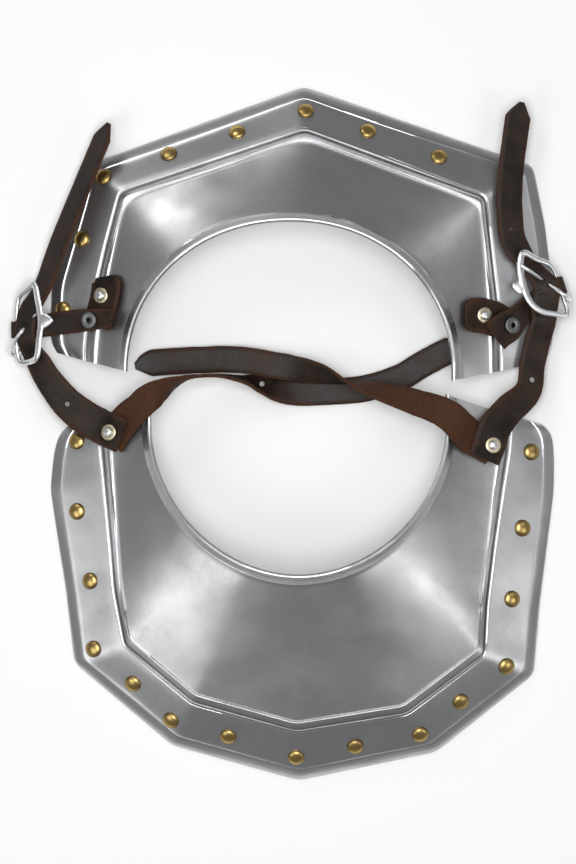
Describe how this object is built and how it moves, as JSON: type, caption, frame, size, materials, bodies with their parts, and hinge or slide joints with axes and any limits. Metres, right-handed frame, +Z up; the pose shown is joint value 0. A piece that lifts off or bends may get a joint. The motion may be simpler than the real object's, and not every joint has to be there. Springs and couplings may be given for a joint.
{
  "type": "gorget",
  "caption": "Steel neck armour of a front and a back plate with brass-riveted borders, laid open, with two buckled leather side straps and two loose inner straps.",
  "frame": {"origin": "middle of the bounding box in plan, on the surface that it lies on", "axes": "+Z up, +Y towards the back plate, +X to the right of the front plate as seen from above"},
  "size_m": [0.3371, 0.416, 0.0638],
  "materials": {
    "steel": "satin sheet steel, hand finished, lightly scratched",
    "brass": "polished, slightly worn",
    "nickel": "bright nickel plate",
    "leather": "dark brown grain side, red-brown flesh side and edges"
  },
  "bodies": {
    "root": {"front_plate": "steel", "back_plate": "steel", "front_rivet_01": "brass", "front_rivet_02": "brass", "front_rivet_03": "brass", "front_rivet_04": "brass", "front_rivet_05": "brass", "front_rivet_06": "brass", "front_rivet_07": "brass", "front_rivet_08": "brass", "front_rivet_09": "brass", "front_rivet_10": "brass", "front_rivet_11": "brass", "front_rivet_12": "brass", "front_rivet_13": "brass", "front_rivet_14": "brass", "front_rivet_15": "brass", "back_rivet_01": "brass", "back_rivet_02": "brass", "back_rivet_03": "brass", "back_rivet_04": "brass", "back_rivet_05": "brass", "back_rivet_06": "brass", "back_rivet_07": "brass", "back_rivet_08": "brass", "back_rivet_09": "brass", "back_rivet_10": "brass", "back_rivet_11": "brass", "side_strap_right": "leather", "side_strap_left": "leather", "inner_strap_right": "leather", "inner_strap_left": "leather", "hanger_right": "leather", "hanger_left": "leather", "chape_right": "leather", "chape_left": "leather", "buckle_frame_right": "nickel", "buckle_prong_right": "nickel", "chape_eyelet_right": "nickel", "buckle_frame_left": "nickel", "buckle_prong_left": "nickel", "chape_eyelet_left": "nickel", "rivet_washer_front_right": "brass", "strap_rivet_front_right": "nickel", "rivet_washer_front_left": "brass", "strap_rivet_front_left": "nickel", "rivet_washer_back_right": "brass", "strap_rivet_back_right": "nickel", "rivet_washer_back_left": "brass", "strap_rivet_back_left": "nickel"}
  },
  "joints": []
}
